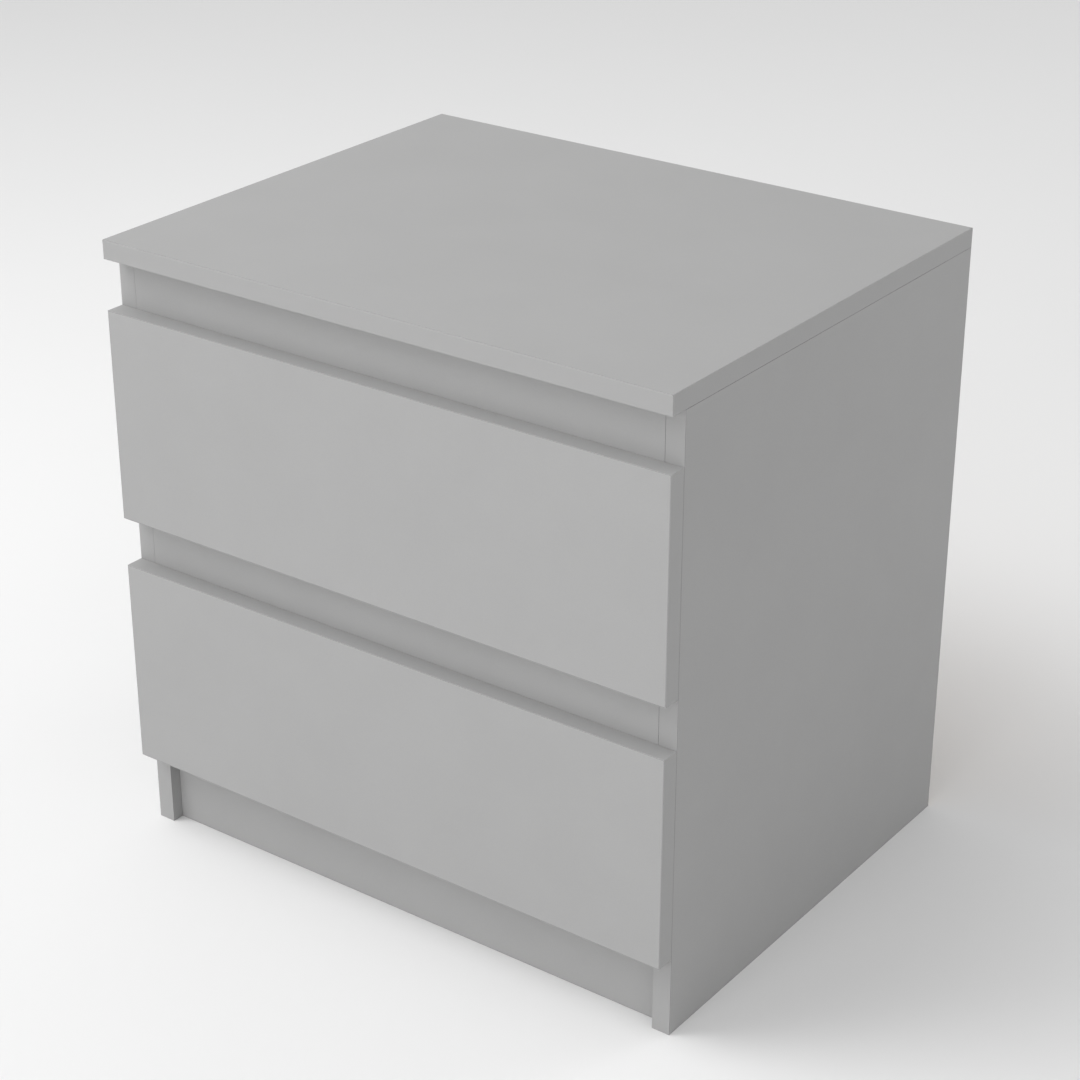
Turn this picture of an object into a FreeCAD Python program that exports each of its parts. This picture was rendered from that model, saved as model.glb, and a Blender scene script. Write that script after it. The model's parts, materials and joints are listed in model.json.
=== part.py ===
import FreeCAD, Part
import os
import re
import Sketcher
from FreeCAD import Placement, Rotation, Vector

# A two-drawer nightstand in melamine-faced particle board, in millimetres.
# +X points to the right as seen from the front, +Y to the rear and +Z up.
# The origin is the centre of the footprint, at floor level.
# Dowels and cam locks hold the boards together and the back panel sits in grooves. Each drawer runs on a
# pair of full-extension slides: a cabinet member, a middle member and a drawer member, with balls in a
# cage between each two.

DIMENSIONS = (
    # carcass
    ("width", 500, "overall width"),
    ("depth", 400, "overall depth"),
    ("height", 500, "overall height"),
    ("board", 15, "thickness of the carcass boards and the drawer fronts"),
    ("edge_round", 0.25, "rounding of every board's edges"),
    ("front_gap", 0.1, "gap between a closed drawer front and the carcass"),
    ("finger_gap", 40, "height of the finger gap above each drawer front"),
    ("front_height", 170, "height of a drawer front"),
    ("plinth_height", 65, "floor to the bottom panel and the lower drawer front"),
    ("plinth_setback", 10, "plinth behind the side panels' front edges"),
    ("rail_lap", 15, "how far a front rail reaches behind a drawer front"),
    ("thin_board", 3, "thickness of the back panel and the drawer bottoms"),
    ("groove_depth", 6, "depth of the grooves for the thin boards"),
    ("groove_play", 0.5, "play of a thin board in the depth of its groove"),
    ("back_groove", 3.4, "width of the grooves for the back panel"),
    ("back_inset", 10, "grooves for the back panel to the rear of the carcass"),
    ("overcut", 1, "how far a cut runs past the end of a board or a slide"),
    # cam locks and dowels
    ("front_row", 50, "side panels' front edges to the front row of cam locks"),
    ("rear_row", 330, "side panels' front edges to the rear row of cam locks"),
    ("dowel_pitch", 32, "cam lock to the nearest dowel in a row"),
    ("cam", 14.8, "diameter of a cam lock"),
    ("cam_bore", 15, "diameter of a cam lock's bore"),
    ("cam_depth", 12.5, "depth of that bore in a carcass board"),
    ("cam_reach", 34, "end of a carcass board to the middle of its cam lock"),
    ("cam_play", 0.2, "depth left free under a cam lock"),
    ("cam_way", 5.2, "how far a bolt's way runs past the middle of its cam lock"),
    ("cam_cross", 8, "length of the cross in a cam lock's face"),
    ("cam_cross_width", 1.2, "width of that cross"),
    ("cam_cross_depth", 1.8, "depth of that cross"),
    ("bolt_bore", 7, "bore along a board for a cam bolt"),
    ("thread", 4.8, "diameter of a cam bolt's thread"),
    ("thread_bore", 5, "bore for that thread"),
    ("thread_depth", 11, "depth of the bore for that thread"),
    ("thread_tip", 1.5, "length of a cam bolt's point"),
    ("collar", 6.6, "diameter of a cam bolt's collar"),
    ("collar_thick", 1.6, "thickness of that collar"),
    ("bolt_shank", 5.4, "diameter of a cam bolt's shank"),
    ("bolt_neck", 3.5, "diameter of a cam bolt's neck"),
    ("bolt_neck_length", 6, "length of that neck"),
    ("bolt_head", 6, "diameter of a cam bolt's head"),
    ("bolt_head_thick", 2.4, "thickness of that head"),
    ("bolt_head_start", 1, "near side of that head to the middle of its cam lock"),
    ("dowel", 7.8, "diameter of a carcass dowel"),
    ("dowel_bore", 8, "bore for a carcass dowel"),
    ("dowel_in_face", 10.5, "depth of a dowel's bore in a board's face"),
    ("dowel_in_end", 20.5, "depth of a dowel's bore in a board's end"),
    ("dowel_bevel", 0.7, "bevel of a dowel's ends"),
    ("end_play", 0.5, "bore left free past the end of a bolt, a dowel or a screw"),
    ("rail_cam_height", 15, "lower edge of a rail or the plinth to its cam locks"),
    ("rail_dowel_height", 42, "lower edge of a rail or the plinth to its dowels"),
    # drawer boxes
    ("box_board", 12, "thickness of the boards of a drawer box"),
    ("box_length", 350, "length of a drawer side"),
    ("box_height", 120, "height of a drawer side"),
    ("box_rise", 23, "lower edge of a drawer front to its box"),
    ("box_groove", 3.2, "height of the grooves for a drawer bottom"),
    ("box_groove_rise", 10, "lower edge of the box to those grooves"),
    ("box_cam_depth", 10, "depth of a cam lock's bore in a drawer side"),
    ("box_cam_reach", 24, "front end of a drawer side to the middle of its cam lock"),
    ("box_cam_height", 60, "lower edge of the box to its cam locks"),
    ("box_dowel", 5.8, "diameter of a drawer dowel"),
    ("box_dowel_bore", 6, "bore for a drawer dowel"),
    ("box_dowel_step", 34, "cam lock to the dowels above and below it"),
    ("back_screw", 4, "shank of a drawer back's screw"),
    ("back_screw_bore", 4.2, "bore for that screw"),
    ("back_screw_head", 8, "head of that screw"),
    ("back_screw_length", 38, "length of that screw"),
    ("back_screw_low", 25, "lower edge of the box to the lower screw of its back"),
    ("back_screw_high", 100, "lower edge of the box to the upper screw of its back"),
    # slides
    ("slide_width", 12.7, "width of a slide"),
    ("slide_height", 45, "height of a cabinet member"),
    ("slide_length", 350, "length of a cabinet member"),
    ("slide_setback", 3, "side panels' front edges to the slides"),
    ("slide_rise", 50, "lower edge of the box to the middle of its slides"),
    ("steel", 1.2, "thickness of the slides' steel"),
    ("lip", 0.8, "height of the lips that keep the balls in"),
    ("cabinet_reach", 9.5, "width of a cabinet member's flanges"),
    ("middle_start", 3, "side panel to a middle member"),
    ("middle_reach", 7.7, "width of a middle member's flanges"),
    ("middle_height", 35.4, "height of a middle member"),
    ("middle_length", 340, "length of a middle member"),
    ("drawer_start", 5.8, "side panel to the tips of a drawer member's flanges"),
    ("drawer_height", 25.8, "height of a drawer member"),
    ("drawer_length", 342, "length of a drawer member"),
    ("window_length", 36, "length of the windows in the members' webs"),
    ("window_height", 9, "height of those windows"),
    # ball cages
    ("ball", 3.4, "diameter of a ball"),
    ("ball_hole", 3.6, "diameter of a ball's hole in its cage"),
    ("ball_pitch", 27, "distance between the balls of a row"),
    ("cage_steel", 0.8, "thickness of a ball cage"),
    ("cage_length", 150, "length of a ball cage"),
    ("cage_start", 100, "front end of a closed slide to its cages"),
    ("outer_cage_start", 1.6, "side panel to an outer cage"),
    ("outer_cage_reach", 7.4, "width of an outer cage's flanges"),
    ("outer_ball_out", 6, "side panel to the outer balls"),
    ("outer_ball_rise", 19.5, "middle of a slide to its outer balls"),
    ("inner_cage_start", 4.6, "side panel to an inner cage"),
    ("inner_cage_reach", 5.6, "width of an inner cage's flanges"),
    ("inner_ball_out", 7.5, "side panel to the inner balls"),
    ("inner_ball_rise", 14.7, "middle of a slide to its inner balls"),
    # slide screws and release levers
    ("screw", 4.4, "shank of a slide screw"),
    ("screw_bore", 4.6, "bore for a slide screw"),
    ("screw_head", 7, "head of a slide screw"),
    ("screw_depth", 10, "depth of a slide screw in a board"),
    ("head_play", 0.2, "how much wider a screw head's seat is"),
    ("screw_tip", 2.5, "length of a screw's point"),
    ("screw_point", 0.6, "diameter at the end of that point"),
    ("screw_cross", 3.2, "length of the cross in a screw's head"),
    ("screw_cross_width", 0.8, "width of that cross"),
    ("screw_cross_depth", 1, "depth of that cross"),
    ("lever_pivot", 190, "front end of a drawer member to its release lever's pivot"),
    ("lever_start", 9, "side panel to a release lever"),
    ("lever_thick", 2.2, "thickness of a release lever"),
    ("lever_height", 7, "height of a release lever's arm"),
    ("lever_arm", 46, "pivot of a release lever to its thumb pad"),
    ("lever_tail", 14, "pivot of a release lever to its tail"),
    ("lever_eye", 9.6, "diameter of a release lever round its pivot"),
    ("lever_bore", 4.2, "bore of a release lever"),
    ("rivet", 4, "diameter of the rivet that a release lever turns on"),
    ("rivet_head", 6.4, "head of that rivet"),
    ("rivet_head_thick", 0.8, "thickness of that head"),
    ("rivet_play", 0.4, "gap between that head and the release lever"),
    ("thumb_pad", 11, "diameter of a release lever's thumb pad"),
    ("thumb_pad_thick", 3.6, "thickness of that pad"),
)

BALLS_IN_A_ROW = 6
SIDES = ("left", "right")
DRAWERS = ("lower", "upper")
LONG_EDGE = 100
TOUCHING = 0.01
# Distances from the front end of a slide: the screws, and the windows of each member.
CABINET_SCREWS = ("37", "165", "325")
DRAWER_SCREWS = ("37", "110", "320")
WINDOWS = {"cabinet": ("60", "190", "260"), "middle": ("40", "150", "262"), "drawer": ("56", "230")}

PLANES = {"XY": ("XY_Plane", 1), "XZ": ("XZ_Plane", -1), "YZ": ("YZ_Plane", 1)}
X, Y, Z = Vector(1, 0, 0), Vector(0, 1, 0), Vector(0, 0, 1)

doc = FreeCAD.newDocument("nightstand")
sub_parts = []


def make_sheet():
    """The spreadsheet that holds the driving dimensions."""
    made = doc.addObject("Spreadsheet::Sheet", "Sizes")
    for row, (alias, millimetres, meaning) in enumerate(DIMENSIONS, start=1):
        made.set(f"A{row}", meaning)
        made.set(f"B{row}", str(millimetres))
        made.setAlias(f"B{row}", alias)
    doc.recompute()
    return made


sheet = make_sheet()
ALIASES = {alias for alias, _, _ in DIMENSIONS}


def formula(text):
    """An expression over the sheet, from one that names its aliases alone."""
    return re.sub(r"[a-z_]+", lambda word: f"Sizes.{word[0]}" if word[0] in ALIASES else word[0], text)


def value(text):
    """The number that a formula over the sheet gives now."""
    return float(sheet.evalExpression(formula(text)))


def keep(sub_part, label):
    """Notes an object as a sub-part, which is written to the file of its label."""
    sub_part.Label = label
    sub_parts.append(sub_part)
    return sub_part


def bind_place(thing, at):
    """Binds an object's position to three formulas."""
    for axis, text in zip("xyz", at):
        thing.setExpression(f"Placement.Base.{axis}", formula(text))


# ---------------------------------------------------------------- bodies


def new_body(label, at=("0", "0", "0"), turned=False, sub_part=True):
    """An empty body whose own origin is at a point; a turned one is half a turn round about Y."""
    body = doc.addObject("PartDesign::Body", label)
    body.Placement.Rotation = Rotation(Y, 180 if turned else 0)
    bind_place(body, at)
    return keep(body, label) if sub_part else body


def new_sketch(body, name, plane, level="0"):
    """An empty sketch on a plane of the body's own origin, moved to a level along the axis it crosses."""
    role, sign = PLANES[plane]
    sketch = body.newObject("Sketcher::SketchObject", name)
    support = next(f for f in body.Origin.OriginFeatures if f.Role == role)
    sketch.AttachmentSupport = [(support, "")]
    sketch.MapMode = "FlatFace"
    sketch.setExpression("AttachmentOffset.Base.z", formula(f"{sign} * ({level})"))
    return sketch


def place_point(sketch, shape, point, x, y):
    """Binds a point of a sketch's shape to two formulas; a 0 puts it on the axis."""
    for kind, axis, text in (("DistanceX", -2, x), ("DistanceY", -1, y)):
        if text == "0":
            sketch.addConstraint(Sketcher.Constraint("PointOnObject", shape, point, axis))
        else:
            index = sketch.addConstraint(Sketcher.Constraint(kind, -1, 1, shape, point, 1.0))
            sketch.setExpression(f"Constraints[{index}]", formula(text))


def draw_rectangle(sketch, x, y, across, up):
    """A rectangle with its lowest corner at x, y."""
    corners = [Vector(1, 1), Vector(2, 1), Vector(2, 2), Vector(1, 2)]
    first = sketch.GeometryCount
    for here, there in zip(corners, corners[1:] + corners[:1]):
        sketch.addGeometry(Part.LineSegment(here, there), False)
    for i in range(4):
        sketch.addConstraint(Sketcher.Constraint("Coincident", first + i, 2, first + (i + 1) % 4, 1))
    for i in (0, 2):
        sketch.addConstraint(Sketcher.Constraint("Horizontal", first + i))
        sketch.addConstraint(Sketcher.Constraint("Vertical", first + i + 1))
    place_point(sketch, first, 1, x, y)
    for side, kind, text in ((first, "DistanceX", across), (first + 1, "DistanceY", up)):
        index = sketch.addConstraint(Sketcher.Constraint(kind, side, 1, side, 2, 1.0))
        sketch.setExpression(f"Constraints[{index}]", formula(text))


def draw_circle(sketch, x, y, diameter):
    """A circle with its middle at x, y."""
    shape = sketch.addGeometry(Part.Circle(Vector(1, 1), Z, 1), False)
    place_point(sketch, shape, 3, x, y)
    index = sketch.addConstraint(Sketcher.Constraint("Diameter", shape, 2.0))
    sketch.setExpression(f"Constraints[{index}]", formula(diameter))


def pad(body, sketch, length):
    """Pads a sketch along the positive axis that its plane crosses."""
    made = body.newObject("PartDesign::Pad", sketch.Name + "_pad")
    made.Profile = sketch
    made.Reversed = sketch.AttachmentSupport[0][0].Role == "XZ_Plane"
    made.setExpression("Length", formula(length))
    return made


def pocket(body, sketch, into, depth, taper=0):
    """Cuts a sketch into the body, along the axis that its plane crosses (1) or against it (-1)."""
    made = body.newObject("PartDesign::Pocket", sketch.Name + "_cut")
    made.Profile = sketch
    against = sketch.AttachmentSupport[0][0].Role == "XZ_Plane"
    made.Reversed = (into > 0) != against
    made.TaperAngle = taper
    made.setExpression("Length", formula(depth))
    return made


def add_block(body, name, plane, level, rectangle, length):
    """Pads a rectangle; rectangle is the four formulas of draw_rectangle."""
    sketch = new_sketch(body, name, plane, level)
    draw_rectangle(sketch, *rectangle)
    return pad(body, sketch, length)


def add_disc(body, name, plane, level, centre, diameter, length):
    """Pads a circle."""
    sketch = new_sketch(body, name, plane, level)
    draw_circle(sketch, *centre, diameter)
    return pad(body, sketch, length)


def cut_slot(body, name, plane, level, into, rectangle, depth):
    """Cuts a rectangular pocket."""
    sketch = new_sketch(body, name, plane, level)
    draw_rectangle(sketch, *rectangle)
    return pocket(body, sketch, into, depth)


def drill(body, name, plane, level, into, centres, diameter, depth, taper=0):
    """Drills a set of equal round holes."""
    sketch = new_sketch(body, name, plane, level)
    for x, y in centres:
        draw_circle(sketch, x, y, diameter)
    return pocket(body, sketch, into, depth, taper)


def round_edges(body, feature, radius, chosen=lambda edge: True):
    """Rounds those edges of a feature that the test picks."""
    doc.recompute()
    names = [f"Edge{i}" for i, edge in enumerate(feature.Shape.Edges, start=1) if chosen(edge)]
    made = body.newObject("PartDesign::Fillet", feature.Name + "_round")
    made.Base = (feature, names)
    made.setExpression("Radius", formula(radius))
    return made


def board(label, dimensions, at):
    """A board with rounded edges, its lowest corner at a point; each size and place is a formula."""
    body = new_body(label, at)
    slab = add_block(body, label + "_outline", "XY", "0", ("0", "0", dimensions[0], dimensions[1]),
                     dimensions[2])
    round_edges(body, slab, "edge_round")
    return body


# ---------------------------------------------------------------- carcass boards

SIDE_FRONT = "board + front_gap - depth/2"
CARCASS_DEPTH = "(depth - board - front_gap)"
INNER_WIDTH = "(width - 2*board)"
SIDE_HEIGHT = "(height - board)"
GROOVE_FRONT = f"({CARCASS_DEPTH} - back_inset - back_groove)"
HELD = "(groove_depth - groove_play)"
BOTTOM_MIDDLE = "plinth_height + board/2"
CAM_ROWS = ("front_row", "rear_row")
DOWEL_ROWS = ("front_row + dowel_pitch", "rear_row - dowel_pitch")
# Each upright front board: its setback, the height of its lower edge, and its own height.
FRONT_BOARDS = {
    "upper_front_rail": ("0", "height - board - finger_gap - rail_lap", "finger_gap + rail_lap"),
    "middle_front_rail": ("0", "plinth_height + front_height - rail_lap", "finger_gap + 2*rail_lap"),
    "plinth_board": ("plinth_setback", "0", "plinth_height"),
}


def front_low(drawer):
    """The height of a drawer front's lower edge."""
    return "plinth_height" if drawer == "lower" else "plinth_height + front_height + finger_gap"


def slide_level(drawer):
    """The height of the middle of a drawer's slides."""
    return f"{front_low(drawer)} + box_rise + slide_rise"


def make_top_panel():
    body = board("top_panel", ("width", "depth", "board"), ("-width/2", "-depth/2", SIDE_HEIGHT))
    behind = "board + front_gap"
    ends = ("board/2", "width - board/2")
    bolts = [(x, f"{behind} + {row}") for x in ends for row in CAM_ROWS]
    drill(body, "top_bolt_bores", "XY", "0", 1, bolts, "thread_bore", "thread_depth")
    dowels = [(x, f"{behind} + {row}") for x in ends for row in DOWEL_ROWS]
    drill(body, "top_dowel_bores", "XY", "0", 1, dowels, "dowel_bore", "dowel_in_face")
    groove = ("board - groove_depth", f"{behind} + {GROOVE_FRONT}", f"{INNER_WIDTH} + 2*groove_depth",
              "back_groove")
    cut_slot(body, "top_groove", "XY", "0", 1, groove, "groove_depth")


def make_side_panel(side):
    """A side panel, bored for the top, the bottom, the front boards and the slides."""
    left = side == "left"
    name = side + "_side"
    body = board(name + "_panel", ("board", CARCASS_DEPTH, SIDE_HEIGHT),
                 ("-width/2" if left else "width/2 - board", SIDE_FRONT, "0"))
    inside, into = ("board", -1) if left else ("0", 1)
    cams = [(row, f"{SIDE_HEIGHT} - cam_reach") for row in CAM_ROWS]
    drill(body, name + "_cam_bores", "YZ", inside, into, cams, "cam_bore", "cam_depth")
    ends = [("board/2", row) for row in CAM_ROWS]
    drill(body, name + "_top_bolt_bores", "XY", SIDE_HEIGHT, -1, ends, "bolt_bore", "cam_reach")
    ends = [("board/2", row) for row in DOWEL_ROWS]
    drill(body, name + "_top_dowel_bores", "XY", SIDE_HEIGHT, -1, ends, "dowel_bore", "dowel_in_end")
    bolts = [(row, BOTTOM_MIDDLE) for row in CAM_ROWS]
    dowels = [(row, BOTTOM_MIDDLE) for row in DOWEL_ROWS]
    for setback, low, _ in FRONT_BOARDS.values():
        bolts.append((f"{setback} + board/2", f"{low} + rail_cam_height"))
        dowels.append((f"{setback} + board/2", f"{low} + rail_dowel_height"))
    drill(body, name + "_bolt_bores", "YZ", inside, into, bolts, "thread_bore", "thread_depth")
    drill(body, name + "_dowel_bores", "YZ", inside, into, dowels, "dowel_bore", "dowel_in_face")
    screws = [(f"slide_setback + {row}", slide_level(drawer)) for drawer in DRAWERS
              for row in CABINET_SCREWS]
    drill(body, name + "_slide_bores", "YZ", inside, into, screws, "screw_bore",
          "screw_depth + end_play")
    groove = (GROOVE_FRONT, "-overcut", "back_groove", f"{SIDE_HEIGHT} + 2*overcut")
    cut_slot(body, name + "_groove", "YZ", inside, into, groove, "groove_depth")


def drill_end_bores(body, end_bores, bore, depth):
    """Drills the bolt or dowel bores in both ends of a board between the side panels."""
    for level, into, side in (("0", 1, "left"), (INNER_WIDTH, -1, "right")):
        drill(body, f"{body.Label}_{side}_{bore}s", "YZ", level, into, end_bores, bore, depth)


def make_bottom_panel():
    body = board("bottom_panel", (INNER_WIDTH, CARCASS_DEPTH, "board"),
                 ("board - width/2", SIDE_FRONT, "plinth_height"))
    cams = [(x, row) for x in ("cam_reach", f"{INNER_WIDTH} - cam_reach") for row in CAM_ROWS]
    drill(body, "bottom_cam_bores", "XY", "0", 1, cams, "cam_bore", "cam_depth")
    drill_end_bores(body, [(row, "board/2") for row in CAM_ROWS], "bolt_bore", "cam_reach")
    drill_end_bores(body, [(row, "board/2") for row in DOWEL_ROWS], "dowel_bore", "dowel_in_end")
    groove = ("-overcut", GROOVE_FRONT, f"{INNER_WIDTH} + 2*overcut", "back_groove")
    cut_slot(body, "bottom_groove", "XY", "board", -1, groove, "groove_depth")


def make_front_board(label, setback, low, tall):
    """An upright board between the side panels, with its cam locks in its rear face."""
    body = board(label, (INNER_WIDTH, "board", tall),
                 ("board - width/2", f"{SIDE_FRONT} + {setback}", low))
    cams = [(x, "rail_cam_height") for x in ("cam_reach", f"{INNER_WIDTH} - cam_reach")]
    drill(body, label + "_cam_bores", "XZ", "board", -1, cams, "cam_bore", "cam_depth")
    drill_end_bores(body, [("board/2", "rail_cam_height")], "bolt_bore", "cam_reach")
    drill_end_bores(body, [("board/2", "rail_dowel_height")], "dowel_bore", "dowel_in_end")


def make_back_panel():
    low = f"plinth_height + board - {HELD}"
    board("back_panel", (f"{INNER_WIDTH} + 2*{HELD}", "thin_board", f"{SIDE_HEIGHT} + {HELD} - ({low})"),
          (f"board - width/2 - {HELD}", f"{SIDE_FRONT} + {GROOVE_FRONT}", low))


# ---------------------------------------------------------------- drawer boxes

BOX_HALF = "(width/2 - board - slide_width)"
BOX_INNER_HALF = f"({BOX_HALF} - box_board)"
BOX_FRONT = "board - depth/2"
BOX_DOWELS = ("box_cam_height - box_dowel_step", "box_cam_height + box_dowel_step")
BACK_SCREWS = ("back_screw_low", "back_screw_high")
BACK_SCREW_CONE = "(back_screw_head - back_screw)/2"


def box_low(drawer):
    """The height of a drawer box's lower edge."""
    return f"{front_low(drawer)} + box_rise"


def make_drawer_front(drawer):
    label = drawer + "_drawer_front"
    body = board(label, ("width", "board", "front_height"), ("-width/2", "-depth/2", front_low(drawer)))
    middles = [f"width/2 {sign} ({BOX_HALF} - box_board/2)" for sign in "-+"]
    bolts = [(x, "box_rise + box_cam_height") for x in middles]
    drill(body, label + "_bolt_bores", "XZ", "board", -1, bolts, "thread_bore", "thread_depth")
    dowels = [(x, f"box_rise + {z}") for x in middles for z in BOX_DOWELS]
    drill(body, label + "_dowel_bores", "XZ", "board", -1, dowels, "box_dowel_bore", "dowel_in_face")
    groove = (f"width/2 - {BOX_INNER_HALF} - groove_depth", "box_rise + box_groove_rise",
              f"2*{BOX_INNER_HALF} + 2*groove_depth", "box_groove")
    cut_slot(body, label + "_groove", "XZ", "board", -1, groove, "groove_depth")


def make_drawer_side(drawer, side):
    """A drawer side, with its groove and its cam lock on the inner face."""
    left = side == "left"
    label = f"{drawer}_drawer_{side}_side"
    body = board(label, ("box_board", "box_length", "box_height"),
                 (f"-{BOX_HALF}" if left else f"{BOX_HALF} - box_board", BOX_FRONT, box_low(drawer)))
    inside, into, outside = ("box_board", -1, "0") if left else ("0", 1, "box_board")
    groove = ("-overcut", "box_groove_rise", "box_length + 2*overcut", "box_groove")
    cut_slot(body, label + "_groove", "YZ", inside, into, groove, "groove_depth")
    cam = [("box_cam_reach", "box_cam_height")]
    drill(body, label + "_cam_bore", "YZ", inside, into, cam, "cam_bore", "box_cam_depth")
    bolt = [("box_board/2", "box_cam_height")]
    drill(body, label + "_bolt_bore", "XZ", "0", 1, bolt, "bolt_bore", "box_cam_reach")
    dowels = [("box_board/2", z) for z in BOX_DOWELS]
    drill(body, label + "_dowel_bores", "XZ", "0", 1, dowels, "box_dowel_bore", "dowel_in_end")
    screws = [("box_length - box_board/2", z) for z in BACK_SCREWS]
    drill(body, label + "_screw_bores", "YZ", outside, -into, screws, "back_screw_bore", "box_board")
    drill(body, label + "_screw_seats", "YZ", outside, -into, screws, "back_screw_head + head_play",
          BACK_SCREW_CONE, taper=-45)
    offset = f"{SIDE_FRONT} + slide_setback - ({BOX_FRONT})"
    slide = [(f"{offset} + {row}", "slide_rise") for row in DRAWER_SCREWS]
    drill(body, label + "_slide_bores", "YZ", outside, -into, slide, "screw_bore",
          "screw_depth + end_play")


def make_drawer_back(drawer):
    label = drawer + "_drawer_back"
    body = board(label, (f"2*{BOX_INNER_HALF}", "box_board", "box_height"),
                 (f"-{BOX_INNER_HALF}", f"{BOX_FRONT} + box_length - box_board", box_low(drawer)))
    groove = ("-overcut", "box_groove_rise", f"2*{BOX_INNER_HALF} + 2*overcut", "box_groove")
    cut_slot(body, label + "_groove", "XZ", "0", 1, groove, "groove_depth")
    screws = [("box_board/2", z) for z in BACK_SCREWS]
    for level, into, side in (("0", 1, "left"), (f"2*{BOX_INNER_HALF}", -1, "right")):
        depth = "back_screw_length - box_board + end_play"
        drill(body, f"{label}_{side}_bores", "YZ", level, into, screws, "back_screw_bore", depth)


def make_drawer_bottom(drawer):
    board(drawer + "_drawer_bottom",
          (f"2*{BOX_INNER_HALF} + 2*{HELD}", f"box_length - box_board + 2*{HELD}", "thin_board"),
          (f"-{BOX_INNER_HALF} - {HELD}", f"{BOX_FRONT} - {HELD}", f"{box_low(drawer)} + box_groove_rise"))


# ---------------------------------------------------------------- drawer slides
# A slide's own frame has X from the side panel to the drawer, Y to the rear and Z up from its middle.
# The right-hand slides are the same pieces, turned over.

SLIDE_FRONT = f"{SIDE_FRONT} + slide_setback"
SLIDES = [(drawer, side) for drawer in DRAWERS for side in SIDES]


def from_side(side, distance):
    """X at a distance from a side panel's inner face towards the drawer."""
    return f"board - width/2 + {distance}" if side == "left" else f"width/2 - board - ({distance})"


def slide_body(label, drawer, side):
    """An empty body on a slide's own frame."""
    return new_body(label, (from_side(side, "0"), SLIDE_FRONT, slide_level(drawer)), side == "right")


def along_y_at(edge, x, z):
    """Whether an edge runs along Y at x, on either side of the middle at z."""
    middle = edge.CenterOfMass
    straight = abs(edge.Vertexes[0].Y - edge.Vertexes[-1].Y) > LONG_EDGE
    return straight and abs(middle.x - x) < TOUCHING and abs(abs(middle.z) - z) < TOUCHING


def make_channel(body, start, reach, tall, back, length, thick, opens=1, lips=False):
    """A rolled channel along Y that opens towards the drawer (1) or towards the side panel (-1)."""
    label = body.Label
    slab = add_block(body, label + "_outline", "XZ", back, (start, f"-({tall})/2", reach, tall), length)
    bend = "start" if opens > 0 else "end"
    web_x = value(start) if bend == "start" else value(f"{start} + {reach}")
    round_edges(body, slab, thick, lambda edge: along_y_at(edge, web_x, value(tall) / 2))
    hollow = f"({tall} - 2*{thick})"
    low = f"{start} + {thick}" if opens > 0 else f"{start} - overcut"
    across = f"{reach} - {thick} + overcut"
    if lips:
        mouth = f"({hollow} - 2*lip)"
        cut_slot(body, label + "_mouth", "XZ", back, 1, (low, f"-{mouth}/2", across, mouth), length)
        across = f"{reach} - 2*{thick}"
    cut_slot(body, label + "_hollow", "XZ", back, 1, (low, f"-{hollow}/2", across, hollow), length)


def cut_windows(body, member, web):
    """The windows in the web of a slide's member."""
    for i, start in enumerate(WINDOWS[member]):
        cut_slot(body, f"{body.Label}_window_{i}", "YZ", web, 1,
                 (start, "-window_height/2", "window_length", "window_height"), "steel")


def make_cabinet_member(drawer, side):
    body = slide_body(f"{drawer}_{side}_cabinet_member", drawer, side)
    make_channel(body, "0", "cabinet_reach", "slide_height", "0", "slide_length", "steel", lips=True)
    screws = [(row, "0") for row in CABINET_SCREWS]
    drill(body, body.Label + "_screw_holes", "YZ", "steel", -1, screws, "screw_head + head_play", "steel",
          taper=-45)
    cut_windows(body, "cabinet", "0")


def make_middle_member(drawer, side):
    body = slide_body(f"{drawer}_{side}_middle_member", drawer, side)
    make_channel(body, "middle_start", "middle_reach", "middle_height", "0", "middle_length", "steel",
                 lips=True)
    cut_windows(body, "middle", "middle_start")


def make_drawer_member(drawer, side):
    """A drawer member, with the rivet that its release lever turns on."""
    body = slide_body(f"{drawer}_{side}_drawer_member", drawer, side)
    reach, web = "(slide_width - drawer_start)", "(slide_width - steel)"
    make_channel(body, "drawer_start", reach, "drawer_height", "0", "drawer_length", "steel", opens=-1)
    screws = [(row, "0") for row in DRAWER_SCREWS]
    drill(body, body.Label + "_screw_holes", "YZ", web, 1, screws, "screw_head + head_play", "steel",
          taper=-45)
    cut_windows(body, "drawer", web)
    pivot = ("lever_pivot", "0")
    add_disc(body, body.Label + "_rivet", "YZ", "lever_start - rivet_play", pivot, "rivet",
             "slide_width - lever_start + rivet_play")
    add_disc(body, body.Label + "_rivet_head", "YZ", "lever_start - rivet_play - rivet_head_thick", pivot,
             "rivet_head", "rivet_head_thick")


def make_release_lever(drawer, side):
    body = slide_body(f"{drawer}_{side}_release_lever", drawer, side)
    arm = ("lever_pivot - lever_arm", "-lever_height/2", "lever_arm + lever_tail", "lever_height")
    add_block(body, body.Label + "_arm", "YZ", "lever_start", arm, "lever_thick")
    add_disc(body, body.Label + "_eye", "YZ", "lever_start", ("lever_pivot", "0"), "lever_eye",
             "lever_thick")
    add_disc(body, body.Label + "_thumb_pad", "YZ", "lever_start + lever_thick - thumb_pad_thick",
             ("lever_pivot - lever_arm", "0"), "thumb_pad", "thumb_pad_thick")
    drill(body, body.Label + "_bore", "YZ", "lever_start", 1, [("lever_pivot", "0")], "lever_bore",
          "lever_thick")


def ball_rows():
    """Y of the balls of a row, from the front end of a closed slide."""
    first = f"cage_start + (cage_length - {BALLS_IN_A_ROW - 1}*ball_pitch)/2"
    return [f"{first} + {i}*ball_pitch" for i in range(BALLS_IN_A_ROW)]


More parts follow.
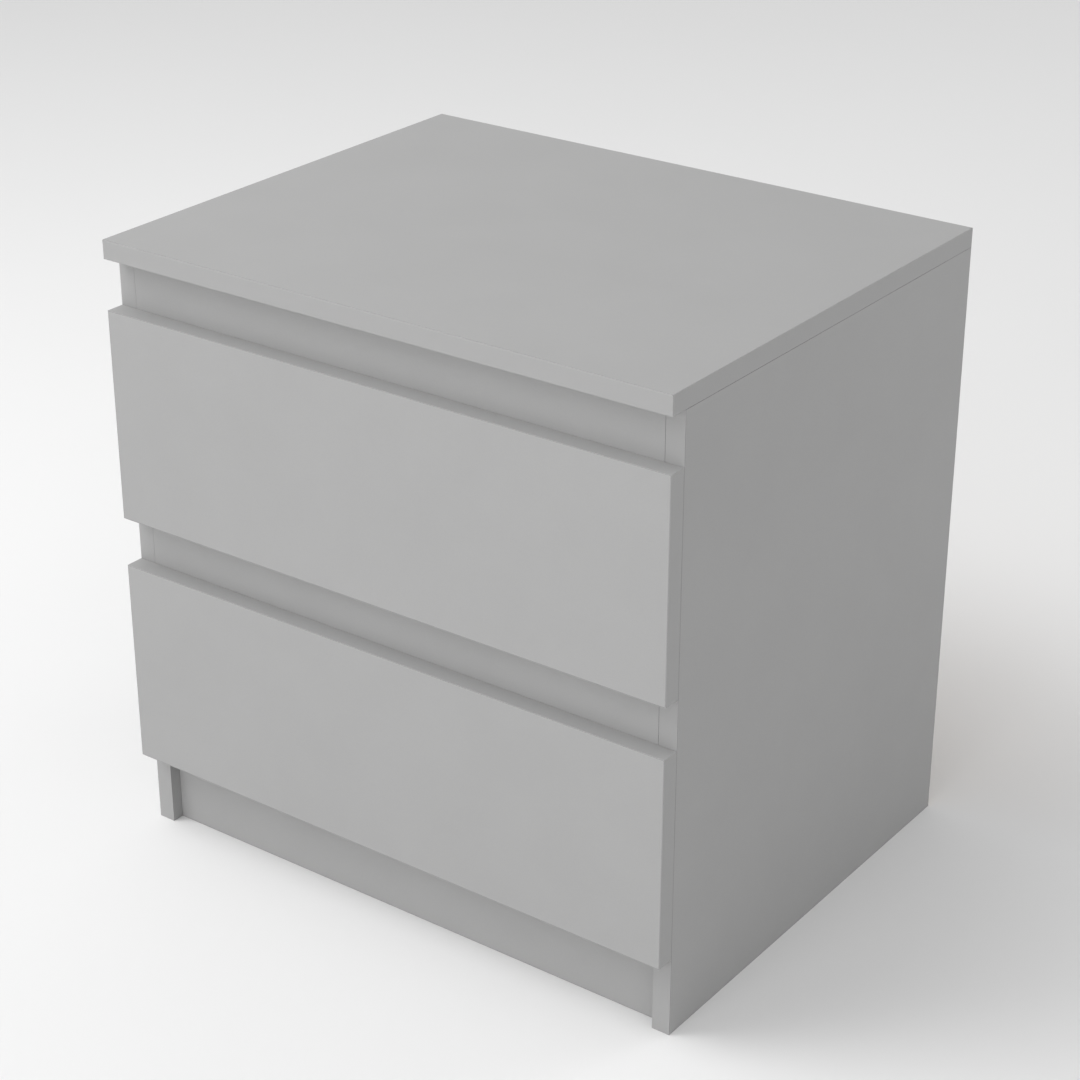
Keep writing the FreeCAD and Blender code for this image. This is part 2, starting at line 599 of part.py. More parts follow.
def make_ball_cage(drawer, side, layer):
    """A cage with a hole for each ball in its upper and lower flanges."""
    body = slide_body(f"{drawer}_{side}_{layer}_ball_cage", drawer, side)
    tall = f"(2*{layer}_ball_rise + cage_steel)"
    make_channel(body, f"{layer}_cage_start", f"{layer}_cage_reach", tall, "cage_start", "cage_length",
                 "cage_steel")
    holes = [(f"{layer}_ball_out", y) for y in ball_rows()]
    drill(body, body.Label + "_holes", "XY", f"{tall}/2", -1, holes, "ball_hole", tall)


# ---------------------------------------------------------------- fasteners and balls


def shift(point, direction, distance):
    """A point moved a distance along an axis; all are formulas."""
    steps = (direction.x, direction.y, direction.z)
    return tuple(text if not step else f"{text} {'+' if step > 0 else '-'} ({distance})"
                 for text, step in zip(point, steps))


def mirrored(point, *directions):
    """A point and its directions on the left, and the same on the right."""
    x, y, z = point
    yield (point, *directions)
    yield ((f"-({x})", y, z), *[Vector(-d.x, d.y, d.z) for d in directions])


def pattern(name):
    """A body that is repeated in a group, with its axis along Z; it isn't a sub-part itself."""
    return new_body(name, sub_part=False)


def turn_stack(body, sections):
    """Round sections one on another along Z: level, lower diameter, upper diameter and length."""
    for i, (level, lower, upper, length) in enumerate(sections):
        if lower == upper:
            section = body.newObject("PartDesign::AdditiveCylinder", f"{body.Name}_{i}")
            section.setExpression("Radius", formula(f"({lower})/2"))
        else:
            section = body.newObject("PartDesign::AdditiveCone", f"{body.Name}_{i}")
            section.setExpression("Radius1", formula(f"({lower})/2"))
            section.setExpression("Radius2", formula(f"({upper})/2"))
        section.setExpression("Height", formula(length))
        section.setExpression("Placement.Base.z", formula(level))


def make_group(label, repeated, places):
    """One sub-part of separate solids: a pattern at each place, given as a point and a rotation."""
    copies = []
    for i, (point, rotation) in enumerate(places):
        copy = doc.addObject("App::Link", f"{label}_{i}")
        copy.LinkedObject = repeated
        copy.Placement = Placement(Vector(0, 0, 0), rotation)
        bind_place(copy, point)
        copies.append(copy)
    group = keep(doc.addObject("Part::Compound", label), label)
    group.Links = copies
    return group


def cut_cross(body, into, length, width, depth):
    """A cross for a screwdriver, from Z = 0."""
    bar = (f"-{length}/2", f"-{width}/2", length, width)
    cut_slot(body, body.Name + "_cross_bar", "XY", "0", into, bar, depth)
    post = (f"-{width}/2", f"-{length}/2", width, length)
    cut_slot(body, body.Name + "_cross_post", "XY", "0", into, post, depth)


def make_cam(name, depth, board_thickness):
    """A cam lock; its face is at Z = 0 and the bolt comes in from -X."""
    body = pattern(name)
    body_depth = f"({depth} - cam_play)"
    turn_stack(body, [(f"-{body_depth}", "cam", "cam", body_depth)])
    drill(body, name + "_bolt_way", "YZ", "-cam", 1, [("0", f"-{board_thickness}/2")], "bolt_bore",
          "cam + cam_way")
    cut_cross(body, -1, "cam_cross", "cam_cross_width", "cam_cross_depth")
    return body


def make_bolt(name, reach):
    """A cam bolt, from its thread below Z = 0 to its head in the cam lock."""
    body = pattern(name)
    point = "(end_play - thread_depth)"
    head = f"({reach} - bolt_head_start)"
    neck = f"({head} - bolt_neck_length)"
    turn_stack(body, [
        (point, "bolt_neck", "thread", "thread_tip"),
        (f"{point} + thread_tip", "thread", "thread", f"-({point} + thread_tip)"),
        ("0", "collar", "collar", "collar_thick"),
        ("collar_thick", "bolt_shank", "bolt_shank", f"{neck} - collar_thick"),
        (neck, "bolt_neck", "bolt_neck", "bolt_neck_length"),
        (head, "bolt_head", "bolt_head", "bolt_head_thick"),
    ])
    return body


def make_dowel(name, diameter):
    """A dowel with bevelled ends, a third of it below Z = 0."""
    body = pattern(name)
    low = "(end_play - dowel_in_face)"
    high = "(dowel_in_end - end_play)"
    end = f"{diameter} - 2*dowel_bevel"
    turn_stack(body, [
        (low, end, diameter, "dowel_bevel"),
        (f"{low} + dowel_bevel", diameter, diameter, f"{high} - {low} - 2*dowel_bevel"),
        (f"{high} - dowel_bevel", diameter, end, "dowel_bevel"),
    ])
    return body


def make_screw(name, head, shank, head_deep, length):
    """A countersunk screw with its head's face at Z = 0 and a cross in it, and its point at +Z."""
    body = pattern(name)
    turn_stack(body, [
        ("0", head, f"{head} - 2*({head_deep})", head_deep),
        (head_deep, shank, shank, f"{length} - {head_deep} - screw_tip"),
        (f"{length} - screw_tip", shank, "screw_point", "screw_tip"),
    ])
    cut_cross(body, 1, "screw_cross", "screw_cross_width", "screw_cross_depth")
    return body


def along(direction):
    """The rotation that turns a pattern's Z to a direction."""
    return Rotation(Z, direction)


def facing(normal, direction):
    """The rotation that turns a cam's face to a normal, with its bolt running in a direction."""
    return Rotation(direction, normal.cross(direction), normal, "ZXY")


def carcass_joints(rows, front_height):
    """Joints of the left side as (point, direction, cam's normal): top, bottom and front boards."""
    face = from_side("left", "0")
    joints = [(("board/2 - width/2", f"{SIDE_FRONT} + {row}", SIDE_HEIGHT), -Z, X) for row in rows]
    joints += [((face, f"{SIDE_FRONT} + {row}", BOTTOM_MIDDLE), X, -Z) for row in rows]
    joints += [((face, f"{SIDE_FRONT} + {setback} + board/2", f"{low} + {front_height}"), X, Y)
               for setback, low, _ in FRONT_BOARDS.values()]
    return [both for joint in joints for both in mirrored(*joint)]


def make_carcass_fasteners():
    cam = make_cam("cam_pattern", "cam_depth", "board")
    bolt = make_bolt("bolt_pattern", "cam_reach")
    dowel = make_dowel("dowel_pattern", "dowel")
    locks = carcass_joints(CAM_ROWS, "rail_cam_height")
    cams = [(shift(shift(point, direction, "cam_reach"), normal, "board/2"), facing(normal, direction))
            for point, direction, normal in locks]
    make_group("carcass_cam_locks", cam, cams)
    make_group("carcass_cam_bolts", bolt, [(point, along(direction)) for point, direction, _ in locks])
    pins = carcass_joints(DOWEL_ROWS, "rail_dowel_height")
    make_group("carcass_dowels", dowel, [(point, along(direction)) for point, direction, _ in pins])


def make_drawer_fasteners():
    cam = make_cam("box_cam_pattern", "box_cam_depth", "box_board")
    bolt = make_bolt("box_bolt_pattern", "box_cam_reach")
    dowel = make_dowel("box_dowel_pattern", "box_dowel")
    screw = make_screw("back_screw_pattern", "back_screw_head", "back_screw", BACK_SCREW_CONE,
                       "back_screw_length")
    for drawer in DRAWERS:
        low = box_low(drawer)
        middle = f"box_board/2 - {BOX_HALF}"
        locks = list(mirrored((middle, BOX_FRONT, f"{low} + box_cam_height"), Y, X))
        cams = [(shift(shift(point, direction, "box_cam_reach"), normal, "box_board/2"),
                 facing(normal, direction)) for point, direction, normal in locks]
        make_group(drawer + "_drawer_cam_locks", cam, cams)
        make_group(drawer + "_drawer_cam_bolts", bolt, [(point, along(way)) for point, way, _ in locks])
        pins = [pin for z in BOX_DOWELS for pin in mirrored((middle, BOX_FRONT, f"{low} + {z}"), Y)]
        make_group(drawer + "_drawer_dowels", dowel, [(point, along(way)) for point, way in pins])
        rear = f"{BOX_FRONT} + box_length - box_board/2"
        screws = [s for z in BACK_SCREWS for s in mirrored((f"-{BOX_HALF}", rear, f"{low} + {z}"), X)]
        make_group(drawer + "_drawer_back_screws", screw, [(point, along(way)) for point, way in screws])


def make_slide_screws():
    screw = make_screw("slide_screw_pattern", "screw_head", "screw", "steel", "screw_depth + steel")
    web = from_side("left", "steel")
    places = [place for drawer in DRAWERS for y in CABINET_SCREWS
              for place in mirrored((web, f"{SLIDE_FRONT} + {y}", slide_level(drawer)), -X)]
    make_group("cabinet_slide_screws", screw, [(point, along(way)) for point, way in places])
    web = from_side("left", "slide_width - steel")
    for drawer in DRAWERS:
        places = [place for y in DRAWER_SCREWS
                  for place in mirrored((web, f"{SLIDE_FRONT} + {y}", slide_level(drawer)), X)]
        make_group(drawer + "_drawer_slide_screws", screw, [(point, along(way)) for point, way in places])


def make_balls():
    sphere = doc.addObject("Part::Sphere", "ball_pattern")
    sphere.setExpression("Radius", formula("ball/2"))
    for drawer in DRAWERS:
        for layer in ("outer", "inner"):
            places = []
            for sign in "+-":
                level = f"{slide_level(drawer)} {sign} {layer}_ball_rise"
                for y in ball_rows():
                    point = (from_side("left", f"{layer}_ball_out"), f"{SLIDE_FRONT} + {y}", level)
                    places += [(place, Rotation()) for place, in mirrored(point)]
            make_group(f"{drawer}_{layer}_balls", sphere, places)


# ---------------------------------------------------------------- the whole nightstand


def make_everything():
    make_top_panel()
    for side in SIDES:
        make_side_panel(side)
    make_bottom_panel()
    for label, (setback, low, tall) in FRONT_BOARDS.items():
        make_front_board(label, setback, low, tall)
    make_back_panel()
    for drawer in DRAWERS:
        make_drawer_front(drawer)
        for side in SIDES:
            make_drawer_side(drawer, side)
        make_drawer_back(drawer)
        make_drawer_bottom(drawer)
    for drawer, side in SLIDES:
        make_cabinet_member(drawer, side)
        make_middle_member(drawer, side)
        make_drawer_member(drawer, side)
        make_release_lever(drawer, side)
        for layer in ("outer", "inner"):
            make_ball_cage(drawer, side, layer)
    make_carcass_fasteners()
    make_drawer_fasteners()
    make_slide_screws()
    make_balls()
    doc.recompute()


def write_everything():
    """Checks every object and writes each sub-part to its own file."""
    for thing in doc.Objects:
        if {"Invalid", "Error"} & set(thing.State):
            raise RuntimeError(f"{thing.Label} isn't built: {thing.State}")
    os.makedirs("parts", exist_ok=True)
    for sub_part in sub_parts:
        shape = sub_part.Shape
        if shape.isNull() or not shape.isValid() or not shape.Solids:
            raise RuntimeError(f"{sub_part.Label} has no valid solid")
        shape.exportStep(f"parts/{sub_part.Label}.step")
        print(f"{sub_part.Label}: {len(shape.Solids)} solids, {shape.Volume:.1f} mm3")


make_everything()
write_everything()
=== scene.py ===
import json
import math
import bpy
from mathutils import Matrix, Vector


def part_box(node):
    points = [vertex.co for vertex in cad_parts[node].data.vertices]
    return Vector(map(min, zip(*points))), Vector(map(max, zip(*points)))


# The nightstand's boards, slides and fasteners keep their CAD shapes and get their materials here. The
# materials work in object coordinates, in metres, so that they move with their pieces.

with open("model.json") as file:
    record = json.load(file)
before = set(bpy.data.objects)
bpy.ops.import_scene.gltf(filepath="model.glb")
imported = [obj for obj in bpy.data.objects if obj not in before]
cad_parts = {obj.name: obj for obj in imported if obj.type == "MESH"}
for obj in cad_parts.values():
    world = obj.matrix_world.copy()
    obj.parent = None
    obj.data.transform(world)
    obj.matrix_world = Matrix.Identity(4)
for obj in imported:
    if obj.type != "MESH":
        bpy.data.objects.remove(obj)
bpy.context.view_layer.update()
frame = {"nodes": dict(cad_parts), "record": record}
nodes = frame["nodes"]
record = frame["record"]

SLOTS = {entry["node"]: entry["material_slot"] for entry in record["subparts"]}
DRAWERS = ("lower", "upper")
AXES = "xyz"
MM = 0.001


# ---------------------------------------------------------------- node helpers


class Shading:
    """A material and its node tree, with short calls that add nodes and return an output."""

    def __init__(self, name):
        self.material = bpy.data.materials.new(name)
        self.material.use_nodes = True
        self.tree = self.material.node_tree
        self.tree.nodes.clear()
        output = self.tree.nodes.new("ShaderNodeOutputMaterial")
        self.shader = self.tree.nodes.new("ShaderNodeBsdfPrincipled")
        self.tree.links.new(self.shader.outputs[0], output.inputs[0])
        self.place = self.add("TexCoord").outputs["Object"]
        split = self.add("SeparateXYZ", {0: self.place})
        self.along = dict(zip(AXES, split.outputs))

    def add(self, kind, inputs=(), **settings):
        """Adds a node; inputs gives each socket a value, or the output that feeds it."""
        node = self.tree.nodes.new("ShaderNode" + kind)
        for name, value in settings.items():
            setattr(node, name, value)
        for socket, value in dict(inputs).items():
            self.feed(node.inputs[socket], value)
        return node

    def feed(self, socket, value):
        if isinstance(value, bpy.types.NodeSocket):
            self.tree.links.new(value, socket)
        else:
            socket.default_value = value

    def surface(self, **inputs):
        """Feeds the shader; Base_Color stands for Base Color."""
        for name, value in inputs.items():
            self.feed(self.shader.inputs[name.replace("_", " ")], value)

    def math(self, operation, first, second=0.0, third=0.0):
        return self.add("Math", {0: first, 1: second, 2: third}, operation=operation).outputs[0]

    def smallest(self, values):
        """The least of several numbers."""
        least = values[0]
        for value in values[1:]:
            least = self.math("MINIMUM", least, value)
        return least

    def weighted_sum(self, first, *others):
        """The sum of several patterns, each given with its weight."""
        total = self.math("MULTIPLY", *first)
        for pattern, weight in others:
            total = self.math("MULTIPLY_ADD", pattern, weight, total)
        return total

    def stretched(self, stretch):
        """Object coordinates multiplied along each axis, so that a pattern is shorter there."""
        return self.add("VectorMath", {0: self.place, 1: stretch}, operation="MULTIPLY").outputs[0]

    def noise(self, size, detail=3.0, stretch=(1, 1, 1)):
        """Soft noise with features about size metres wide."""
        inputs = {"Vector": self.stretched(stretch), "Scale": 1 / size, "Detail": detail}
        return self.add("TexNoise", inputs).outputs["Fac"]

    def cells(self, size, stretch=(1, 1, 1)):
        """A random tone for each cell about size metres wide."""
        cells = self.add("TexVoronoi", {"Vector": self.stretched(stretch), "Scale": 1 / size})
        return self.add("SeparateColor", {0: cells.outputs["Color"]}).outputs[0]

    def span(self, source, low, high, to_low=0.0, to_high=1.0):
        """Maps low..high to to_low..to_high, held at the ends."""
        inputs = {"Value": source, "From Min": low, "From Max": high, "To Min": to_low, "To Max": to_high}
        return self.add("MapRange", inputs).outputs[0]

    def spread(self, noise, to_low=0.0, to_high=1.0):
        """Maps the middle of soft noise, where nearly all of it lies, to to_low..to_high."""
        return self.span(noise, 0.3, 0.7, to_low, to_high)

    # A Mix node has sockets 2 and 3 and output 0 for numbers, and 6, 7 and output 2 for colours.

    def mix(self, factor, first, second):
        """Mixes two colours."""
        return self.add("Mix", {0: factor, 6: first, 7: second}, data_type="RGBA").outputs[2]

    def blend(self, factor, first, second):
        """Mixes two numbers."""
        return self.add("Mix", {0: factor, 2: first, 3: second}, data_type="FLOAT").outputs[0]

    def bump(self, height, distance):
        return self.add("Bump", {"Height": height, "Distance": distance}).outputs[0]


def shade(colour, factor=1.0):
    """A colour made lighter or darker, as RGBA."""
    return tuple(channel * factor for channel in colour) + (1.0,)


# ---------------------------------------------------------------- boards

GREY = (0.334, 0.333, 0.3325)
BOX_GREY = (0.40, 0.40, 0.398)
CHIP_PALE = (0.60, 0.44, 0.26)
CHIP_DARK = (0.27, 0.17, 0.085)
FIBRE_PALE = (0.33, 0.21, 0.115)
FIBRE_DARK = (0.20, 0.12, 0.06)
FOIL = 0.3 * MM         # depth of the foil, a little more than the rounding of the edges
BAND = 0.4 * MM         # thickness of the edge bands
JOINT = 0.12 * MM       # half the width of the dark joint between band and foil, drawn darker to paint the shade along the edges
ARRIS_SHADE = 0.25 * MM       # width of the painted shade line along a raw edge, where boards meet one another or the floor
FINE_LAYER = 2.8 * MM   # depth of the fine chips under each face
FINE_CHIP = 1.1 * MM
COARSE_CHIP = 3.6 * MM
DUST = 0.35 * MM
PEARL = 0.55 * MM       # size of the foil's fine texture
RELIEF = 0.25 * MM      # height of the raw chips; the two depths below are parts of it
PEARL_DEPTH = 0.06
LINE_DEPTH = 0.12
FOIL_CLOUD = 0.018      # how much lighter or darker the foil's clouds and flecks are
BAND_SHADE = 0.985      # the tone of the dark joints and painted shade lines, as a part of the foil's
JOINT_AND_SHADE_TONE = 0.15       # the dark lines' tone, as a part of the foil's
JOINT_AND_SHADE_COVER = 0.95       # how far the dark joints and painted shade lines cover the foil
RESIN_IOR = 1.45
PLASTIC_IOR = 1.5

# The sides of each board that have an edge band; its other sides and its bores show particle board.
BANDED = {
    "top_panel": ("-x", "+x", "-y"),
    "left_side_panel": ("-y",),
    "right_side_panel": ("-y",),
    "bottom_panel": ("-y",),
    "upper_front_rail": ("-z",),
    "middle_front_rail": ("-z", "+z"),
    "plinth_board": ("-z",),
}
# The face of each thin board that is lacquered; its other face shows fibres.
LACQUERED = {"back_panel": "-y"}
for drawer in DRAWERS:
    BANDED[f"{drawer}_drawer_front"] = ("-x", "+x", "-z", "+z")
    BANDED[f"{drawer}_drawer_left_side"] = ("-z", "+z", "+y")
    BANDED[f"{drawer}_drawer_right_side"] = ("-z", "+z", "+y")
    BANDED[f"{drawer}_drawer_back"] = ("-z", "+z")
    LACQUERED[f"{drawer}_drawer_bottom"] = "+z"


def from_side(made, box, side):
    """Distance of a point from one side of a board, such as -y for its front."""
    sign, axis = side
    low, high = (corner[AXES.index(axis)] for corner in box)
    if sign == "-":
        return made.math("SUBTRACT", made.along[axis], low)
    return made.math("SUBTRACT", high, made.along[axis])


def from_sides(made, box, sides):
    """Distance of a point from the nearest of several sides."""
    return made.smallest([from_side(made, box, side) for side in sides])


def thin_axis(box):
    """The axis along which a board is thinnest."""
    sizes = [high - low for low, high in zip(*box)]
    return AXES[sizes.index(min(sizes))]


def sides_across(axes):
    """Both sides of a board across each of the axes."""
    return [sign + axis for axis in axes for sign in "-+"]


def one_way(axis, factor):
    """A stretch along one axis only: above 1 the pattern is shorter there, and below 1 longer."""
    return tuple(factor if axis == other else 1.0 for other in AXES)


def foil_tone(made, colour):
    """Melamine's colour: a faint cloud over the board and a faint fleck."""
    cloud = made.noise(60 * MM)
    fleck = made.cells(0.5 * MM)
    tone = made.weighted_sum((cloud, 0.7), (fleck, 0.3))
    return made.mix(made.spread(tone), shade(colour, 1 - FOIL_CLOUD), shade(colour, 1 + FOIL_CLOUD))


def board(name, colour):
    """Melamine-faced particle board: foil on its faces, bands on its edges, chips in its core."""
    made = Shading(name)
    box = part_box(name)
    axis = thin_axis(box)
    depth = from_sides(made, box, sides_across(axis))
    from_band = from_sides(made, box, BANDED[name])

    in_core = made.math("GREATER_THAN", depth, FOIL)
    past_band = made.math("GREATER_THAN", from_band, BAND)
    core = made.math("MULTIPLY", in_core, past_band)
    # Painted shade: the joint between band and foil is drawn darker than a real joint, to stand in for
    # the shade along the edges.
    off_joint = made.math("ABSOLUTE", made.math("SUBTRACT", from_band, BAND))
    joint_and_shade = made.span(off_joint, JOINT, 0.0)
    # Painted shade: a dark line along the raw edges stands for the shade in the seams where boards meet
    # one another or the floor.
    edges = sides_across(AXES.replace(axis, ""))
    raw_sides = [side for side in edges if side not in BANDED[name]]
    if raw_sides:
        from_raw = from_sides(made, box, raw_sides)
        joint_and_shade = made.math("MAXIMUM", joint_and_shade, made.span(from_raw, ARRIS_SHADE, 0.0))

    # The band has one even tone, a little darker than the foil's.
    foil = foil_tone(made, colour)
    skin = made.mix(past_band, shade(colour, BAND_SHADE), foil)
    # The dark joints and the painted shade lines are laid over the foil and band here.
    skin = made.mix(made.math("MULTIPLY", joint_and_shade, JOINT_AND_SHADE_COVER), skin, shade(colour, JOINT_AND_SHADE_TONE))

    fine = made.cells(FINE_CHIP, one_way(axis, 4.0))
    coarse = made.cells(COARSE_CHIP, one_way(axis, 3.2))
    chips = made.blend(made.span(depth, FINE_LAYER * 0.7, FINE_LAYER), fine, coarse)
    dust = made.noise(DUST)
    grain = made.weighted_sum((chips, 0.65), (dust, 0.35))
    wood = made.mix(made.span(grain, 0.1, 0.85), shade(CHIP_DARK), shade(CHIP_PALE))

    pearl = made.noise(PEARL, detail=2.0)
    height = made.blend(core, made.math("MULTIPLY", pearl, PEARL_DEPTH), grain)
    height = made.math("MULTIPLY_ADD", joint_and_shade, -LINE_DEPTH, height)
    made.surface(Base_Color=made.mix(core, skin, wood), IOR=RESIN_IOR,
                 Roughness=made.blend(core, made.spread(pearl, 0.5, 0.6), 0.92),
                 Normal=made.bump(height, RELIEF))
    return made.material


def thin_board(name, colour):
    """Hardboard, lacquered on one face and bare on the other."""
    made = Shading(name)
    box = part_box(name)
    bare = made.math("GREATER_THAN", from_side(made, box, LACQUERED[name]), FOIL)

    long_fibres = made.noise(2.6 * MM, detail=4.0, stretch=(1, 0.35, 0.35))
    mat = made.noise(0.5 * MM)
    patch = made.noise(90 * MM)
    tone = made.weighted_sum((mat, 0.4), (long_fibres, 0.45), (patch, 0.15))
    fibre = made.mix(made.span(tone, 0.35, 0.65), shade(FIBRE_DARK), shade(FIBRE_PALE))
    layers = made.noise(0.35 * MM, stretch=one_way(thin_axis(box), 3.0))
    height = made.blend(bare, made.math("MULTIPLY", layers, 0.08), tone)
    made.surface(Base_Color=made.mix(bare, foil_tone(made, colour), fibre), IOR=RESIN_IOR,
                 Roughness=made.blend(bare, made.spread(layers, 0.42, 0.5), 0.8),
                 Normal=made.bump(height, 0.2 * MM))
    return made.material


# ---------------------------------------------------------------- metal, wood and plastic

ZINC = (0.66, 0.67, 0.68)
CAGE_ZINC = (0.47, 0.48, 0.50)
BALL_DARK = (0.68, 0.69, 0.70)
BALL_PALE = (0.82, 0.82, 0.82)
ALLOY_DARK = (0.36, 0.37, 0.38)
ALLOY_PALE = (0.58, 0.58, 0.58)
BEECH_DARK = (0.47, 0.30, 0.16)
BEECH_PALE = (0.66, 0.46, 0.28)
BEECH_FLECK = (0.30, 0.16, 0.08)
BLACK_DARK = (0.012, 0.012, 0.013)
BLACK_PALE = (0.022, 0.022, 0.023)


def rolled_steel(name, colour, roughness):
    """Zinc-plated strip, with faint rolling lines along the slides and a faint chromate cloud."""
    made = Shading(name)
    lines = made.noise(0.5 * MM, detail=4.0, stretch=(1, 0.02, 1))
    cloud = made.noise(14 * MM, detail=2.0)
    spangle = made.cells(1.3 * MM)
    tone = made.weighted_sum((spangle, 0.15), (lines, 0.4), (cloud, 0.45))
    red, green, blue = colour
    cool = (red * 0.93, green * 0.96, blue)
    made.surface(Metallic=1.0, Normal=made.bump(lines, 0.02 * MM),
                 Base_Color=made.mix(made.span(tone, 0.3, 0.65), shade(cool, 0.9), shade(colour, 1.05)),
                 Roughness=made.span(tone, 0.3, 0.65, roughness * 1.2, roughness * 0.8))
    return made.material


def ball_steel():
    """Polished balls with faint scratches."""
    made = Shading("ball_steel")
    scratches = made.noise(0.25 * MM, detail=5.0, stretch=(1, 0.3, 1))
    made.surface(Metallic=1.0, Base_Color=made.mix(scratches, shade(BALL_DARK), shade(BALL_PALE)),
                 Roughness=made.span(scratches, 0.35, 0.7, 0.05, 0.16))
    return made.material


def cast_alloy():
    """Die-cast zinc, dull and finely pitted."""
    made = Shading("cam_alloy")
    grain = made.noise(0.3 * MM, detail=4.0)
    bloom = made.noise(4 * MM)
    tone = made.weighted_sum((bloom, 0.5), (grain, 0.5))
    made.surface(Metallic=1.0, Normal=made.bump(grain, 0.05 * MM),
                 Base_Color=made.mix(made.span(tone, 0.35, 0.65), shade(ALLOY_DARK), shade(ALLOY_PALE)),
                 Roughness=made.spread(grain, 0.38, 0.58))
    return made.material


def beech(name, axis):
    """Beech, its grain along one axis, with the short dark flecks of its rays."""
    made = Shading(name)
    grain = made.noise(0.7 * MM, detail=4.0, stretch=one_way(axis, 0.12))
    flecks = made.cells(0.5 * MM, one_way(axis, 0.3))
    in_fleck = made.math("GREATER_THAN", flecks, 0.88)
    wood = made.mix(made.spread(grain), shade(BEECH_DARK), shade(BEECH_PALE))
    made.surface(Base_Color=made.mix(made.math("MULTIPLY", in_fleck, 0.5), wood, shade(BEECH_FLECK)),
                 Roughness=made.spread(grain, 0.75, 0.62), Normal=made.bump(grain, 0.08 * MM))
    return made.material


def black_plastic():
    """Moulded plastic with a fine spark-eroded texture."""
    made = Shading("black_plastic")
    texture = made.noise(0.28 * MM, detail=2.0)
    cloud = made.noise(9 * MM)
    made.surface(Base_Color=made.mix(cloud, shade(BLACK_DARK), shade(BLACK_PALE)), IOR=PLASTIC_IOR,
                 Roughness=made.spread(texture, 0.38, 0.56), Normal=made.bump(texture, 0.03 * MM))
    return made.material


SHARED = {
    "zinc_steel": rolled_steel("zinc_steel", ZINC, 0.34),
    "cage_steel": rolled_steel("cage_steel", CAGE_ZINC, 0.42),
    "ball_steel": ball_steel(),
    "cam_alloy": cast_alloy(),
    "black_plastic": black_plastic(),
}
BOARD_COLOURS = {"melamine": GREY, "drawer_melamine": BOX_GREY}
# The axis along which each drawer's dowels lie, and most of the carcass's.
DOWELS = {"carcass_dowels": "x", "lower_drawer_dowels": "y", "upper_drawer_dowels": "y"}


def material_of(name):
    slot = SLOTS[name]
    if name in BANDED:
        return board(name, BOARD_COLOURS[slot])
    if name in LACQUERED:
        return thin_board(name, BOX_GREY)
    if name in DOWELS:
        return beech(name, DOWELS[name])
    return SHARED[slot]


for name, node in nodes.items():
    node.data.materials.clear()
    node.data.materials.append(material_of(name))


# ---------------------------------------------------------------- floor, light and camera

FLOOR_GREY = (0.80, 0.80, 0.80)
FLOOR_CLOUD = 0.005     # how much lighter or darker the floor's clouds are
FLOOR_CLOUD_SIZE = 0.3
FLOOR_HALF = 40.0
# Elevation in degrees and brightness of the sky, which meets the far floor's tone at the horizon.
SKY = ((26, 0.535), (34, 1.13), (50, 1.13), (60, 0.1))
# name: azimuth and elevation in degrees, distance and diameter in metres, and watts
LAMPS = {
    "key": (-50, 48, 4.5, 2.0, 41.2),
    "high_left": (-50, 65, 3.0, 1.8, 29.1),
    "front": (0, 15, 4.5, 2.0, 46.8),
    "right": (35, 40, 3.0, 1.8, 3.9),
    "rear": (150, 15, 4.5, 2.0, 32.2),
}
AIM = Vector((0, 0, 0.25))
CAMERA_PLACE = Vector((1.056, -1.4385, 1.113))
CAMERA_SIDE = (36.29, 25.81)    # azimuth and elevation, in degrees, that the camera looks from
LENS = 85.0
SENSOR = 36.0
CAMERA_REACH = 100.0


def direction(azimuth, elevation):
    """The unit vector from the object towards a camera or lamp; azimuth 0 is the front, 90 the right."""
    a, e = math.radians(azimuth), math.radians(elevation)
    return Vector((math.sin(a) * math.cos(e), -math.cos(a) * math.cos(e), math.sin(e)))


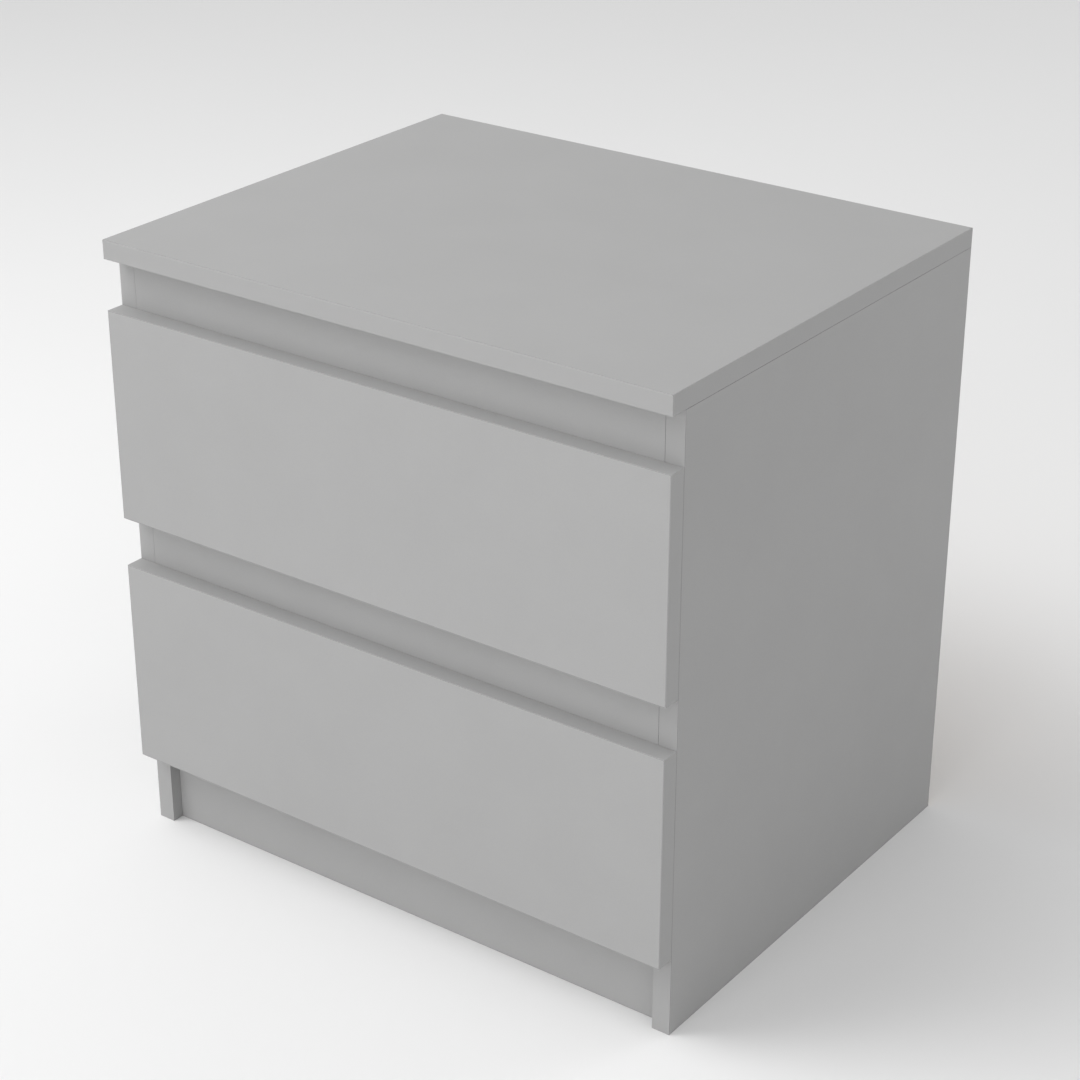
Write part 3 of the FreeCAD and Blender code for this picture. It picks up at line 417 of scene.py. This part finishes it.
def put(name, data, place, look):
    """Adds a camera or lamp that looks along a direction."""
    holder = bpy.data.objects.new(name, data)
    holder.location = place
    holder.rotation_mode = "QUATERNION"
    holder.rotation_quaternion = look.to_track_quat("-Z", "Y")
    bpy.context.scene.collection.objects.link(holder)
    return holder


def make_floor():
    half = FLOOR_HALF
    corners = [(-half, -half, 0), (half, -half, 0), (half, half, 0), (-half, half, 0)]
    mesh = bpy.data.meshes.new("floor")
    mesh.from_pydata(corners, [], [(0, 1, 2, 3)])
    floor = bpy.data.objects.new("floor", mesh)
    bpy.context.scene.collection.objects.link(floor)
    made = Shading("floor")
    dark, pale = shade(FLOOR_GREY, 1 - FLOOR_CLOUD), shade(FLOOR_GREY, 1 + FLOOR_CLOUD)
    made.surface(Base_Color=made.mix(made.noise(FLOOR_CLOUD_SIZE), dark, pale), Roughness=0.9)
    mesh.materials.append(made.material)


def make_world():
    """A sky that is brightest halfway up, as in a white room with soft boxes all round."""
    world = bpy.data.worlds.new("studio")
    world.use_nodes = True
    tree = world.node_tree
    place = tree.nodes.new("ShaderNodeTexCoord")
    split = tree.nodes.new("ShaderNodeSeparateXYZ")
    ramp = tree.nodes.new("ShaderNodeValToRGB")
    stops = ramp.color_ramp.elements
    while len(stops) < len(SKY):
        stops.new(1.0)
    for stop, (elevation, brightness) in zip(stops, SKY):
        stop.position = math.sin(math.radians(elevation))
        stop.color = shade((brightness,) * 3)
    tree.links.new(place.outputs["Generated"], split.inputs[0])
    tree.links.new(split.outputs[2], ramp.inputs[0])
    tree.links.new(ramp.outputs[0], tree.nodes["Background"].inputs["Color"])
    bpy.context.scene.world = world


def make_lamps():
    for name, (azimuth, elevation, distance, size, watts) in LAMPS.items():
        light = bpy.data.lights.new(name, "AREA")
        light.shape = "DISK"
        light.size = size
        light.energy = watts
        place = direction(azimuth, elevation) * distance
        put(name, light, place, AIM - place)


def make_camera():
    camera = bpy.data.cameras.new("camera")
    camera.lens = LENS
    camera.sensor_width = SENSOR
    camera.clip_end = CAMERA_REACH
    bpy.context.scene.camera = put("camera", camera, CAMERA_PLACE, -direction(*CAMERA_SIDE))


make_floor()
make_world()
make_lamps()
make_camera()
bpy.context.scene.view_settings.view_transform = "Standard"
